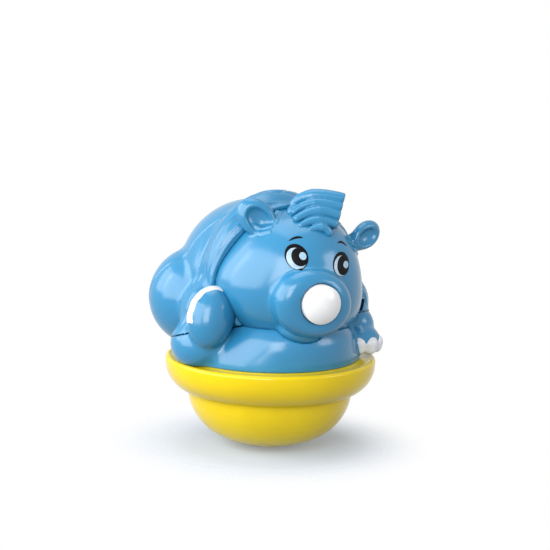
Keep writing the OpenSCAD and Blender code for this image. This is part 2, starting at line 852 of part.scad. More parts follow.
module shell_screws() {
  color([0.7, 0.7, 0.72]) for (p = flank_posts) translate([p.x, p.y, deck_z + flank_low]) screw(flank_bite);
}
module head_screws() {
  color([0.7, 0.7, 0.72]) at_head() for (p = neck_post_shares * head_w)
    translate([p.x, neck_plate_y + neck_plate_t, p.y]) rotate([90, 0, 0])
      screw(head_bite + neck_plate_t - tip_gap);
}

// Nose button and what it works
module nose_button() {
  ball = (button_r ^ 2 + button_dome ^ 2) / (2 * button_dome);
  color([0.97, 0.97, 0.95]) at_button() {
    rotate_extrude($fn = 64) {
      difference() {
        union() {
          intersection() {
            translate([0, button_dome - ball]) circle(ball, $fn = 128);
            square([button_r, button_dome]);
          }
          translate([0, -skirt_l - flange_t]) square([button_r, skirt_l + flange_t]);
          translate([0, -skirt_l - flange_t]) square([button_r + flange_w, flange_t]);
        }
        translate([0, -skirt_l - flange_t - over])
          square([button_r - button_wall, skirt_l + flange_t + over]);
        intersection() {
          translate([0, button_dome - ball]) circle(ball - button_wall, $fn = 128);
          translate([0, -over]) square([button_r - button_wall, button_dome + over]);
        }
      }
    }
    translate([stem_x, 0, stem_low]) cylinder(r = stem_r, h = -stem_low + button_dome - button_wall);
  }
}
module button_guide() {
  color([0.38, 0.67, 0.9]) at_button() difference() {
    union() {
      translate([0, 0, -sleeve_back - flange_t])
        cylinder(r = sleeve_r, h = sleeve_back + flange_t - sleeve_front);
      translate([0, 0, -guide_back + guide_flange_t / 2])
        cylinder(r = chamber_out, h = guide_back - sleeve_back + flange_t / 2 - guide_flange_t / 2);
      translate([0, 0, -guide_back]) linear_extrude(guide_flange_t) difference() {
        union() {
          circle(guide_flange_r);
          for (a = guide_angles) rotate(a) translate([guide_flange_r, 0]) circle(boss_r);
        }
        for (a = guide_angles) rotate(a) translate([guide_screw_r, 0]) circle(pass_r);
      }
    }
    translate([0, 0, -guide_back - over]) cylinder(r = chamber_r, h = guide_back - sleeve_back + over);
    translate([0, 0, -guide_back]) cylinder(r = button_r + slide_gap, h = guide_back + over);
    for (x = [nose_board_screw_r, -nose_board_screw_r]) translate([x, 0, -guide_back - over])
      cylinder(r = pilot_r, h = guide_flange_t + over - fit_gap);
  }
}
module guide_screws() {
  color([0.7, 0.7, 0.72]) at_button() for (a = guide_angles) rotate(a)
    translate([guide_screw_r, 0, -guide_back]) screw(guide_bite);
}
module button_spring() {
  rest = guide_back - skirt_l - flange_t - nose_wire - 2 * pin_gap;
  color([0.75, 0.75, 0.78]) at_button() translate([0, 0, -guide_back + nose_wire / 2 + pin_gap])
    tube(coil(nose_coil_r, nose_coil_r, rest, nose_turns, 14), nose_wire / 2, 5);
}
module nose_board() {
  color([0.1, 0.4, 0.2]) at_button() translate([0, 0, -guide_back - nose_board_t]) difference() {
    cylinder(r = nose_board_r, h = nose_board_t);
    for (x = [nose_board_screw_r, -nose_board_screw_r]) translate([x, 0, -over])
      cylinder(r = pass_r, h = nose_board_t + 2 * over);
    for (a = guide_angles) rotate(a) translate([guide_screw_r, 0, -over])
      cylinder(r = screw_head_r + 2 * fit_gap, h = nose_board_t + 2 * over);
  }
}
module board_screws() {
  color([0.7, 0.7, 0.72]) at_button() for (x = [nose_board_screw_r, -nose_board_screw_r])
    translate([x, 0, -guide_back - nose_board_t]) screw(nose_board_bite);
}
module nose_led() {
  color([0.9, 0.92, 0.95]) at_button() translate([led_x, 0, -guide_back]) {
    cylinder(r = led_base_r, h = led_base_h);
    cylinder(r = led_r, h = led_h - led_r);
    translate([0, 0, led_h - led_r]) sphere(led_r);
  }
}
module nose_switch() {
  color([0.12, 0.12, 0.13]) at_button() translate([stem_x, 0, -guide_back]) {
    translate([-tact_w / 2, -tact_w / 2, 0]) cube([tact_w, tact_w, tact_h]);
    cylinder(r = tact_pin_r, h = tact_h + tact_pin_h);
  }
}

// Battery
module battery_tray() {
  color([0.15, 0.15, 0.16]) difference() {
    union() {
      intersection() {
        translate([-tray_l / 2, -tray_w / 2, tray_low]) cube([tray_l, tray_w, tray_top - tray_low]);
        translate([0, 0, tray_low]) cylinder(r = tray_round, h = tray_top - tray_low);
      }
      for (s = [0, 1]) mirror([0, s, 0]) translate([-ear_w / 2, tray_w / 2 - tray_wall, deck_z])
        cube([ear_w, ear_out + tray_wall + tray_slack, ear_t]);
      for (p = main_posts) translate([p.x, p.y, tray_top - tray_wall])
        cylinder(r = stand_r, h = stand_h + tray_wall);
    }
    for (y = [cell_y, -cell_y]) {
      translate([-tray_in / 2, y, cell_z]) rotate([0, 90, 0]) cylinder(r = bore_r, h = tray_in);
      translate([-tray_in / 2, y - bore_r, tray_low - over])
        cube([tray_in, 2 * bore_r, cell_z - tray_low + over]);
    }
    for (p = main_posts) translate([p.x, p.y, tray_top - tray_wall])
      cylinder(r = pilot_r, h = stand_h + tray_wall + over);
    for (y = [ear_y, -ear_y]) translate([0, y, deck_z - over]) cylinder(r = pass_r, h = ear_t + 2 * over);
    for (s = [1, -1]) translate([s * lead_x, s * cell_y, cell_z])
      cylinder(r = lead_r + fit_gap, h = tray_top);
  }
}
module tray_screws() {
  color([0.7, 0.7, 0.72]) for (y = [ear_y, -ear_y]) translate([0, y, deck_z + ear_t]) mirror([0, 0, 1])
    screw(tray_bite);
}
module cell(s) {
  translate([s * (tray_in / 2 - plate_t), s * cell_y, cell_z]) rotate([0, -90 * s, 0]) {
    translate([0, 0, tip_l]) cylinder(r = cell_r, h = cell_l - tip_l);
    cylinder(r = tip_r, h = tip_l + tip_l / 2);
  }
}
module cell_front() {
  color([0.2, 0.45, 0.3]) cell(-1);
}
module cell_rear() {
  color([0.2, 0.45, 0.3]) cell(1);
}
module contact_springs() {
  color([0.78, 0.78, 0.75]) for (s = [1, -1])
    translate([-s * (tray_in / 2 - coil_wire / 2 - pin_gap), s * cell_y, cell_z]) rotate([0, 90 * s, 0])
      tube(coil(coil_r, coil_r / 2, spring_l - coil_wire - 2 * pin_gap, 3, 12), coil_wire / 2, 5);
}
module contact_plates() {
  color([0.78, 0.78, 0.75]) for (s = [1, -1])
    translate([s * (tray_in - plate_t) / 2 - plate_t / 2, s * cell_y - coil_r, cell_z - coil_r])
      cube([plate_t, 2 * coil_r, 2 * coil_r]);
}

// Main board
module main_board() {
  color([0.1, 0.4, 0.2]) difference() {
    translate([-board_l / 2, board_y - board_w / 2, board_z]) cube([board_l, board_w, board_t]);
    for (p = main_posts) translate([p.x, p.y, board_z - over]) cylinder(r = pass_r, h = board_t + 2 * over);
  }
}
module main_screws() {
  color([0.7, 0.7, 0.72]) for (p = main_posts) translate([p.x, p.y, board_z + board_t]) mirror([0, 0, 1])
    screw(main_bite);
}
module sound_chip() {
  ball = (chip_r ^ 2 + chip_h ^ 2) / (2 * chip_h);
  at = [chip_x, board_y, board_z + board_t];
  color([0.08, 0.08, 0.08]) translate(at) rotate_extrude() intersection() {
    translate([0, chip_h - ball]) circle(ball, $fn = 96);
    square([chip_r, chip_h]);
  }
}
module capacitor() {
  color([0.15, 0.18, 0.35]) translate([can_x, board_y + can_y, board_z + board_t])
    cylinder(r = can_r, h = can_h);
}
module tilt_sensor() {
  color([0.8, 0.7, 0.3]) translate([tilt_x, board_y + tilt_y, board_z + board_t])
    cylinder(r = tilt_r, h = tilt_h);
}

// Power switch
module power_switch() {
  run = knob_plate_l + knob_travel + 2 * slide_gap;
  color([0.1, 0.1, 0.11]) at_switch() difference() {
    union() {
      translate([-switch_l / 2, -switch_h / 2, 0]) cube([switch_l, switch_h, switch_t + switch_lip]);
      for (x = [switch_post_x, -switch_post_x]) translate([x, 0, switch_t + switch_lip - switch_ear_t])
        cylinder(r = boss_r, h = switch_ear_t);
    }
    translate([-run / 2, -knob_plate_h / 2 - slide_gap, switch_t - knob_plate_t - 2 * slide_gap])
      cube([run, knob_plate_h + 2 * slide_gap, knob_plate_t + 2 * slide_gap]);
    translate([-(knob_w + knob_travel) / 2 - slot_play, -knob_h / 2 - slide_gap, switch_t - over])
      cube([knob_w + knob_travel + 2 * slot_play, knob_h + 2 * slide_gap, switch_lip + 2 * over]);
    for (x = [switch_post_x, -switch_post_x]) translate([x, 0, switch_t + switch_lip - switch_ear_t - over])
      cylinder(r = pass_r, h = switch_ear_t + 2 * over);
  }
}
module switch_knob() {
  color([0.95, 0.95, 0.95]) at_switch() translate([-knob_travel / 2, 0, 0]) {
    translate([-knob_plate_l / 2, -knob_plate_h / 2, switch_t - knob_plate_t - slide_gap])
      cube([knob_plate_l, knob_plate_h, knob_plate_t]);
    translate([-knob_w / 2, -knob_h / 2, switch_t - knob_plate_t / 2])
      cube([knob_w, knob_h, knob_out - switch_y - switch_t + knob_plate_t / 2]);
  }
}
module switch_screws() {
  color([0.7, 0.7, 0.72]) at_switch() for (x = [switch_post_x, -switch_post_x])
    translate([x, 0, switch_t + switch_lip - switch_ear_t]) screw(switch_bite);
}

// Speaker
module speaker_basket() {
  mouth = cone_r + fit_gap;
  low = -basket_deep - basket_wall;
  color([0.55, 0.55, 0.57]) at_speaker() rotate_extrude() polygon([[mouth, 0], [speaker_r, 0],
    [speaker_r, -speaker_rim_t], [mouth + basket_wall, -speaker_rim_t], [basket_r, low], [cone_neck_r, low],
    [cone_neck_r, -basket_deep], [basket_r - basket_wall, -basket_deep], [mouth, -speaker_rim_t]]);
}
module speaker_magnet() {
  color([0.25, 0.25, 0.27]) at_speaker() translate([0, 0, -basket_deep - basket_wall - magnet_h])
    cylinder(r = magnet_r, h = magnet_h);
}
module speaker_cone() {
  mouth = cone_r + fit_gap;
  color([0.12, 0.12, 0.12]) at_speaker() rotate_extrude() polygon([[0, -cone_deep],
    [cone_neck_r, -cone_deep], [cone_r, -cone_t], [mouth, -cone_t], [mouth, 0], [cone_r, 0],
    [cone_neck_r, cone_t - cone_deep], [0, cone_t - cone_deep]]);
}
module speaker_clamp() {
  color([0.15, 0.15, 0.16]) at_speaker() translate([0, 0, -speaker_rim_t - clamp_t]) difference() {
    union() {
      cylinder(r = speaker_r + seat_ring_w / 2, h = clamp_t);
      for (a = clamp_angles) rotate(a) translate([clamp_ear, 0, 0]) cylinder(r = boss_r, h = clamp_t);
    }
    translate([0, 0, -over]) cylinder(r = speaker_r - clamp_lap, h = clamp_t + 2 * over);
    for (a = clamp_angles) rotate(a) translate([clamp_ear, 0, -over])
      cylinder(r = pass_r, h = clamp_t + 2 * over);
  }
}
module clamp_screws() {
  color([0.7, 0.7, 0.72]) at_speaker() for (a = clamp_angles) rotate(a)
    translate([clamp_ear, 0, -speaker_rim_t - clamp_t]) screw(clamp_bite);
}

// Leads, each a pair of wires
function turn_x(v, a) = [v.x, v.y * cos(a) - v.z * sin(a), v.y * sin(a) + v.z * cos(a)];
function turn_y(v, a) = [v.x * cos(a) + v.z * sin(a), v.y, v.z * cos(a) - v.x * sin(a)];
function turn_z(v, a) = [v.x * cos(a) - v.y * sin(a), v.x * sin(a) + v.y * cos(a), v.z];
function from_head(v) = head_at + turn_z(turn_y(turn_x(v, head_turn.x), head_turn.y), head_turn.z);
function arc_path(a, b, c, d, n) = [for (i = [0:n]) let (t = i / n)
  (1 - t) ^ 3 * a + 3 * t * (1 - t) ^ 2 * b + 3 * t ^ 2 * (1 - t) * c + t ^ 3 * d];
module nose_leads() {
  back = guide_back + nose_board_t + pin_gap - button_fore;
  front = board_y - board_w / 2 + lead_pitch;
  top = board_z + board_t + pin_gap;
  color([0.75, 0.1, 0.1]) for (x = [lead_pitch, -lead_pitch])
    tube(arc_path(from_head([x, back, -button_drop]), from_head([x, back + board_w / 2, -button_drop]),
      [x, front, top + board_w / 2], [x, front, top], 14), lead_r, 6);
}
module speaker_leads() {
  top = board_z + board_t + pin_gap;
  back = speaker_y - basket_deep - basket_wall - pin_gap;
  drop = deck_z + speaker_z - (magnet_r + basket_r) / 2;
  front = board_y + board_w / 2 - lead_pitch;
  color([0.1, 0.1, 0.1]) for (x = [lead_pitch, -lead_pitch])
    tube(arc_path([x, front, top], [x, front, top + board_w / 4],
      [x, back - board_w / 4, drop], [x, back, drop], 12), lead_r, 6);
}
module battery_leads() {
  top = board_z + board_t;
  high = top + lead_arch;
  color([0.75, 0.1, 0.1]) for (s = [1, -1]) {
    out = s * lead_x;
    in = s * (lead_x - lead_span);
    y = s * cell_y;
    end = max(y, board_y - board_w / 2 + lead_pitch);
    tube([[out, y, cell_z + coil_r + pin_gap], [out, y, tray_top],
      [out - s * lead_bend, y, tray_top + 2 * lead_bend],
      [out - s * (lead_bend + lead_slope), end, high - lead_bend], [in + s * lead_bend, end, high],
      [in, end, high - lead_bend], [in, end, top + pin_gap]], lead_r, 6);
  }
}

head_shell();
back_shell();
belly_shell();
base_rim();
base_bowl();
counterweight();
weight_screw();
base_screws();
body_screws();
shell_screws();
head_screws();
nose_button();
button_guide();
guide_screws();
button_spring();
nose_board();
nose_led();
nose_switch();
board_screws();
battery_tray();
tray_screws();
cell_front();
cell_rear();
contact_springs();
contact_plates();
main_board();
main_screws();
sound_chip();
capacitor();
tilt_sensor();
power_switch();
switch_knob();
switch_screws();
speaker_basket();
speaker_magnet();
speaker_cone();
speaker_clamp();
clamp_screws();
nose_leads();
speaker_leads();
battery_leads();
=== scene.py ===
import math

import bpy
import numpy as np
from mathutils import Matrix, Vector


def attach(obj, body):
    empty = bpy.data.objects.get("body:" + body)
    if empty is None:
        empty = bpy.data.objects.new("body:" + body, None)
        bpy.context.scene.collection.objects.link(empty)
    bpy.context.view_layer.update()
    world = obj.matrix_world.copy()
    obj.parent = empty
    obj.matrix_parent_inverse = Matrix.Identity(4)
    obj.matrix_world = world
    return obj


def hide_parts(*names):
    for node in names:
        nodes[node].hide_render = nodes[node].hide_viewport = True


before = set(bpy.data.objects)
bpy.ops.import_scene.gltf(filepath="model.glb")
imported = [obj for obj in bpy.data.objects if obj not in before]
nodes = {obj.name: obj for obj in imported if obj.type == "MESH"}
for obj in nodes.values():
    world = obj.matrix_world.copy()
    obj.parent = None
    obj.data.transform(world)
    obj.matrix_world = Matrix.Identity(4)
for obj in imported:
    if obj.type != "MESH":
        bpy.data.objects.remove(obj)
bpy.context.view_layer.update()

# Sizes in millimetres
MM = 0.001
DECK_Z = 30.0
HEAD_W = 50.0
BODY_W = 54.0
HEAD_AT = np.array([-0.3, -12.0, 57.0])
HEAD_NOD, HEAD_LEAN, HEAD_YAW = 4.0, 13.0, -12.0
WALL = 1.6
SEAM_GAP = 0.3
SEAM_RISE = 10.0
SEAM_TILT = 17.0
NECK_BACK = 5.0
NECK_LAP = 2.5
BUTTON_FORE = 26.0
BUTTON_DROP = 2.0
HOLE_R = 6.6
HEAD_GAP = 0.03
SPEAKER_Z = 26.0
SWITCH_Z = 6.2

# Lobes as shares of the head's or the body's width: centre, radii, blend
HEAD_LOBES = [
    ((0, 0.02, 0.08), (0.42, 0.41, 0.39), 0),
    ((0, 0.05, -0.09), (0.504, 0.41, 0.33), 0.16),
]
MUZZLE_AT = (-0.5, -3.1)
MUZZLE_R = (13.3, 11.2)
MUZZLE_FRONT = 24.4
MUZZLE_ROUND = 5.0
MUZZLE_REAR = -8.0
LIP_AT = (0, -13.5, -13.3)
LIP_R = (7.5, 7.6, 4.4)
BODY_LOBES = [
    ((0, 0.189, 0.437), (0.46, 0.533, 0.51), 0),
    ((0, 0.086, 0.669), (0.277, 0.287, 0.228), 0.111),
    ((0.257, 0.415, 0.325), (0.33, 0.3, 0.315), 0.03),
    ((-0.257, 0.415, 0.325), (0.33, 0.3, 0.315), 0.03),
    ((0, -0.009, 0.554), (0.475, 0.216, 0.474), 0.074),
    ((0, 0, 0.009), (0.548, 0.548, 0.333), 0.074),
    ((0, -0.278, 0.148), (0.352, 0.278, 0.167), 0.093),
    ((-0.509, 0.019, 0.115), (0.17, 0.194, 0.157), 0.046),
    ((-0.444, 0.056, 0.296), (0.148, 0.185, 0.185), 0.056),
    ((0.5, -0.07, 0.305), (0.152, 0.167, 0.185), 0.056),
    ((0.472, -0.204, 0.167), (0.135, 0.139, 0.148), 0.056),
]


def turn(x, y, z):
    """Turn about X, then Y, then Z, in degrees."""
    a, b, c = (math.radians(v) for v in (x, y, z))
    rx = np.array([[1, 0, 0], [0, math.cos(a), -math.sin(a)], [0, math.sin(a), math.cos(a)]])
    ry = np.array([[math.cos(b), 0, math.sin(b)], [0, 1, 0], [-math.sin(b), 0, math.cos(b)]])
    rz = np.array([[math.cos(c), -math.sin(c), 0], [math.sin(c), math.cos(c), 0], [0, 0, 1]])
    return rz @ ry @ rx


HEAD_TURN = turn(HEAD_NOD, HEAD_LEAN, HEAD_YAW)


def to_head(p):
    return (p - HEAD_AT) @ HEAD_TURN


def from_head(p):
    return np.asarray(p, float) @ HEAD_TURN.T + HEAD_AT


# Shape fields: distance to a surface in millimetres, below zero inside
def egg(p, at, r, axes=None):
    q = p - np.asarray(at, float)
    if axes is not None:
        q = q @ axes
    r = np.asarray(r, float)
    k0 = np.linalg.norm(q / r, axis=-1)
    k1 = np.linalg.norm(q / (r * r), axis=-1)
    return k0 * (k0 - 1) / np.maximum(k1, 1e-6)


def strand(p, a, b, ra, rb):
    """A round strand from a to b that tapers from ra to rb."""
    a = np.asarray(a, float)
    d = np.asarray(b, float) - a
    t = np.clip((p - a) @ d / (d @ d), 0, 1)
    return np.linalg.norm(p - a - t[..., None] * d, axis=-1) - (ra + (rb - ra) * t)


def tube(p, line, r):
    """A round bead along a line of points."""
    d = None
    for a, b in zip(line[:-1], line[1:]):
        one = strand(p, a, b, r, r)
        d = one if d is None else np.minimum(d, one)
    return d


def mirrored(p):
    """The same point on the right-hand side."""
    return np.stack([-np.abs(p[..., 0]), p[..., 1], p[..., 2]], -1)


def join(a, b, k):
    h = np.maximum(k - np.abs(a - b), 0) / k
    return np.minimum(a, b) - h * h * k / 4


def carve(a, b, k):
    """Takes b out of a with an edge rounded by k."""
    return -join(-a, b, k)


def lobes_field(p, lobes, width):
    d = None
    for at, r, k in lobes:
        one = egg(p, np.array(at) * width, np.array(r) * width)
        d = one if d is None else join(d, one, k * width)
    return d


def muzzle_field(q):
    """A barrel with a rounded front edge."""
    x = (q[..., 0] - MUZZLE_AT[0]) / MUZZLE_R[0]
    z = (q[..., 2] - MUZZLE_AT[1]) / MUZZLE_R[1]
    side = (np.hypot(x, z) - 1) * MUZZLE_R[1] + MUZZLE_ROUND
    front = MUZZLE_ROUND - MUZZLE_FRONT - q[..., 1]
    outer = np.hypot(np.maximum(side, 0), np.maximum(front, 0))
    inner = np.minimum(np.maximum(side, front), 0)
    return np.maximum(outer + inner - MUZZLE_ROUND, q[..., 1] - MUZZLE_REAR)


def head_core(q):
    d = join(lobes_field(q, HEAD_LOBES, HEAD_W), muzzle_field(q), 0.9)
    return join(d, egg(q, LIP_AT, LIP_R), 0.6)


def body_core(p):
    return lobes_field(p - np.array([0, 0, DECK_Z]), BODY_LOBES, BODY_W)


def body_space(core, head, q):
    """The hollow of the body, lined where it meets the head."""
    near = np.maximum(head - WALL, q[..., 1] - NECK_BACK - 1)
    return np.maximum(core + WALL, -near)


def seam_side(p):
    """Height over the seam plane."""
    a = math.radians(SEAM_TILT)
    return (p[..., 2] - DECK_Z - SEAM_RISE) * math.cos(a) + p[..., 1] * math.sin(a)


# Ears, their folds and the forelock in the head's frame
EAR_TURN = (-10, 58, 12)
EAR_ROOT = (13.5, 0.5, 12.5)
EAR_STALK_R = (4.0, 2.8)
EAR_STALK_SHARE = 0.66
EAR_CUP_SHIFT = np.array([0, -3.0, -1.2])
EAR_CUP_SHARES = np.array([0.66, 1.0, 0.72])
EARS = {
    -1: (np.array([-18.6, -1.2, 17.6]), np.array([5.6, 3.1, 7.3])),
    1: (np.array([20.8, -1.2, 19.8]), np.array([4.6, 3.0, 5.9])),
}
EAR_FOLDS = [
    [(-19.0, -1.5, 15.0), (-16.9, -3.6, 14.6), (-14.6, -5.4, 16.4)],
    [(-18.4, 0.0, 13.5), (-17.2, -5.1, 13.5), (-15.4, -6.7, 14.9)],
    [(-11.5, 0.5, 20.6), (-10.6, -0.7, 20.6), (-13.1, -5.0, 17.9)],
]
EAR_FOLD_R = 0.7
# Each lock runs over three places: root, crest and tip
LOCKS = np.array([
    [(-6.9, -0.3, 24.4), (-2.2, -2.3, 28.6), (7.2, -6.3, 30.3)],
    [(-8.0, -4.4, 22.4), (-2.1, -5.1, 26.6), (7.0, -8.2, 27.7)],
    [(-7.8, -7.4, 20.8), (-0.8, -7.2, 24.5), (6.7, -9.4, 24.7)],
    [(-6.8, -9.6, 19.2), (-1.4, -9.6, 21.9), (6.1, -10.4, 21.9)],
    [(-4.0, -11.2, 18.6), (-0.4, -11.4, 20.2), (2.2, -12.2, 19.2)],
])
LOCK_R = (1.2, 1.95, 1.6)
LOCK_FULL = (1.15, 0.92, 1.08, 0.85, 0.8)
LOCK_STEPS = 10
LOCK_CORE = [
    [(-1.0, 0.5, 26.4), (8.7, -3.6, 28.4)],
    [(-6.2, -1.8, 21.6), (8.1, -5.5, 26.4)],
    [(-3.0, -5.0, 21.0), (7.2, -6.6, 23.8)],
]
LOCK_CORE_R = 3.0
LOCK_CUT = np.array([0.92, -0.39, 0.0])
LOCK_END = np.array([6.8, -7.4, 26.3])


def ear_field(q, side):
    axes = turn(EAR_TURN[0], side * EAR_TURN[1], side * EAR_TURN[2])
    at, r = EARS[side]
    root = np.array([side * EAR_ROOT[0], EAR_ROOT[1], EAR_ROOT[2]])
    tip = at * EAR_STALK_SHARE + root * (1 - EAR_STALK_SHARE)
    d = join(egg(q, at, r, axes), strand(q, root, tip, *EAR_STALK_R), 2.0)
    return carve(d, egg(q, at + axes @ EAR_CUP_SHIFT, r * EAR_CUP_SHARES, axes), 1.0)


def forelock_field(p):
    q = to_head(p)
    d = None
    for a, b in LOCK_CORE:
        one = strand(q, a, b, LOCK_CORE_R, LOCK_CORE_R)
        d = one if d is None else join(d, one, 2.0)
    for (root, crest, tip), full in zip(LOCKS, LOCK_FULL):
        pull = 2 * crest - (root + tip) / 2
        lock = None
        for i in range(LOCK_STEPS):
            ends = []
            for t in (i / LOCK_STEPS, (i + 1) / LOCK_STEPS):
                at = (1 - t) ** 2 * root + 2 * t * (1 - t) * pull + t * t * tip
                ends.append((at, full * np.interp(t, (0, 0.5, 1), LOCK_R)))
            one = strand(q, ends[0][0], ends[1][0], ends[0][1], ends[1][1])
            lock = one if lock is None else np.minimum(lock, one)
        d = join(d, lock, 0.3)
    return -join(-d, -((q - LOCK_END) @ LOCK_CUT), 0.8)


def head_field(p):
    q = to_head(p)
    core = head_core(q)
    trim = np.minimum(ear_field(q, 1), ear_field(q, -1))
    trim = np.maximum(trim, q[..., 1] - (NECK_BACK - NECK_LAP - SEAM_GAP))
    d = join(core, trim, 0.9)
    for line in EAR_FOLDS:
        d = join(d, tube(mirrored(q), line, EAR_FOLD_R), 0.5)
    d = np.maximum(d, q[..., 1] - NECK_BACK)
    n = q - np.array([0, -BUTTON_FORE, -BUTTON_DROP])
    d = carve(d, np.hypot(n[..., 0], n[..., 2]) - HOLE_R, 0.4)
    return np.maximum(d, -(core + WALL))


# Folds of the hide on the back: collar and plates in the head's Y, a V over the shoulders
COLLAR_FOLDS = ((3.8, 0.45, 0.6), (6.2, 0.45, 0.7))
COLLAR_WALL = 1.4
# The back reaches forward low down, beside the head
APRON_REACH = 7.0
APRON_HIGH = 5.5
PLATE_CREASES = (11.0, 14.2)
SHOULDER_V = np.array([0.437, 0.83, 0.349])
SHOULDER_AT = 27.1
CREASE_DEEP = 0.3
CREASE_WIDE = 0.5
FOLD_START, FOLD_FADE = 1.5, 5.0
REAR_Y = 20.0
GRILLE_RINGS, GRILLE_PITCH, GRILLE_HOLE_R = 3, 3.1, 0.8
SLOT_HALF = (3.5, 1.8)
CLEAR_OF_ALL = 9.0


def back_field(p):
    core = body_core(p)
    q = to_head(p)
    head = head_core(q)
    d = join(core, head - COLLAR_WALL, 1.5)
    over = np.clip((seam_side(p) - FOLD_START) / FOLD_FADE, 0, 1)
    for y, high, wide in COLLAR_FOLDS:
        d = d - over * high * np.exp(-(((q[..., 1] - y) / wide) ** 2))
    for y in PLATE_CREASES:
        d = d + over * CREASE_DEEP * np.exp(-(((q[..., 1] - y) / CREASE_WIDE) ** 2))
    shoulder = mirrored(p) @ SHOULDER_V - SHOULDER_AT
    d = d + over * CREASE_DEEP * np.exp(-((shoulder / CREASE_WIDE) ** 2))
    d = np.maximum(d, HEAD_GAP - head)
    lap = APRON_REACH * np.clip((APRON_HIGH - seam_side(p)) / 2, 0, 1)
    d = np.maximum(d, NECK_BACK - NECK_LAP - lap - q[..., 1])
    foot = np.maximum(feet_field(p) - SEAM_GAP / 2, SEAM_GAP / 2 - core)
    d = np.maximum(d, -foot)
    d = np.maximum(d, SEAM_GAP / 2 - seam_side(p))
    d = np.maximum(d, DECK_Z - p[..., 2])
    behind = p[..., 1] > REAR_Y
    for ring in range(GRILLE_RINGS):
        for i in range(max(1, 6 * ring)):
            a = math.radians(60 * i / max(ring, 1))
            x = GRILLE_PITCH * ring * math.cos(a)
            z = DECK_Z + SPEAKER_Z + GRILLE_PITCH * ring * math.sin(a)
            hole = np.hypot(p[..., 0] - x, p[..., 2] - z) - GRILLE_HOLE_R
            d = np.maximum(d, -np.where(behind, hole, CLEAR_OF_ALL))
    across = np.abs(p[..., 0]) - SLOT_HALF[0]
    upright = np.abs(p[..., 2] - DECK_Z - SWITCH_Z) - SLOT_HALF[1]
    d = np.maximum(d, -np.where(behind, np.maximum(across, upright), CLEAR_OF_ALL))
    return np.maximum(d, -body_space(core, head, q))


# Feet: the raised right one shows its sole, the left one stands on the rim
FOOT_R_AT = np.array([-28.4, -6.7, 16.2 + DECK_Z])
FOOT_R_R = (7.6, 6.2, 10.2)
FOOT_R_AXES = turn(-12, 14, -22)
FOOT_L_AT = np.array([25.0, -16.2, 6.05 + DECK_Z])
FOOT_L_R = (6.48, 6.37, 4.97)
TOE_R_ANGLES = (95, 125, 155, 185)
TOE_L_ANGLES = (228, 274, 320)
# A toe runs from its top place to its tip, round the foot's own oval
TOE_R_TOP, TOE_R_TIP, TOE_R_R = (5.3, 0, 7.3), (5.0, -1.6, 6.9), 2.3
TOE_L_TOP, TOE_L_TIP, TOE_L_R = (5.2, 5.1, -0.9), (4.9, 4.8, -2.2), 2.45


def toe_fields(p, side):
    toes = []
    if side < 0:
        q = (p - FOOT_R_AT) @ FOOT_R_AXES
        for a in TOE_R_ANGLES:
            c, s = math.cos(math.radians(a)), math.sin(math.radians(a))
            top, tip = ((x * c, y, z * s) for x, y, z in (TOE_R_TOP, TOE_R_TIP))
            toes.append(strand(q, top, tip, TOE_R_R, TOE_R_R))
    else:
        q = p - FOOT_L_AT
        for a in TOE_L_ANGLES:
            c, s = math.cos(math.radians(a)), math.sin(math.radians(a))
            top, tip = ((x * c, y * s, z) for x, y, z in (TOE_L_TOP, TOE_L_TIP))
            toes.append(strand(q, top, tip, TOE_L_R, TOE_L_R))
    return toes


def feet_field(p):
    d = np.minimum(egg(p, FOOT_R_AT, FOOT_R_R, FOOT_R_AXES), egg(p, FOOT_L_AT, FOOT_L_R))
    for toe in toe_fields(p, -1) + toe_fields(p, 1):
        d = join(d, toe, 0.6)
    return d


def belly_field(p):
    core = body_core(p)
    feet = feet_field(p)
    low = np.maximum(join(core, feet, 1.2), seam_side(p) + SEAM_GAP / 2)
    high = np.maximum(np.maximum(feet, -(core - SEAM_GAP)), -seam_side(p) - SEAM_GAP)
    d = np.minimum(low, high)
    q = to_head(p)
    head = head_core(q)
    d = np.maximum(d, HEAD_GAP - head)
    d = np.maximum(d, DECK_Z - p[..., 2])
    return np.maximum(d, -body_space(core, head, q))


# Skins: a quad mesh on the zero level of a field
CORNERS = [(i, j, k) for i in (0, 1) for j in (0, 1) for k in (0, 1)]
EDGES = [(a, b) for a in range(8) for b in range(a + 1, 8)
         if sum(abs(x - y) for x, y in zip(CORNERS[a], CORNERS[b])) == 1]


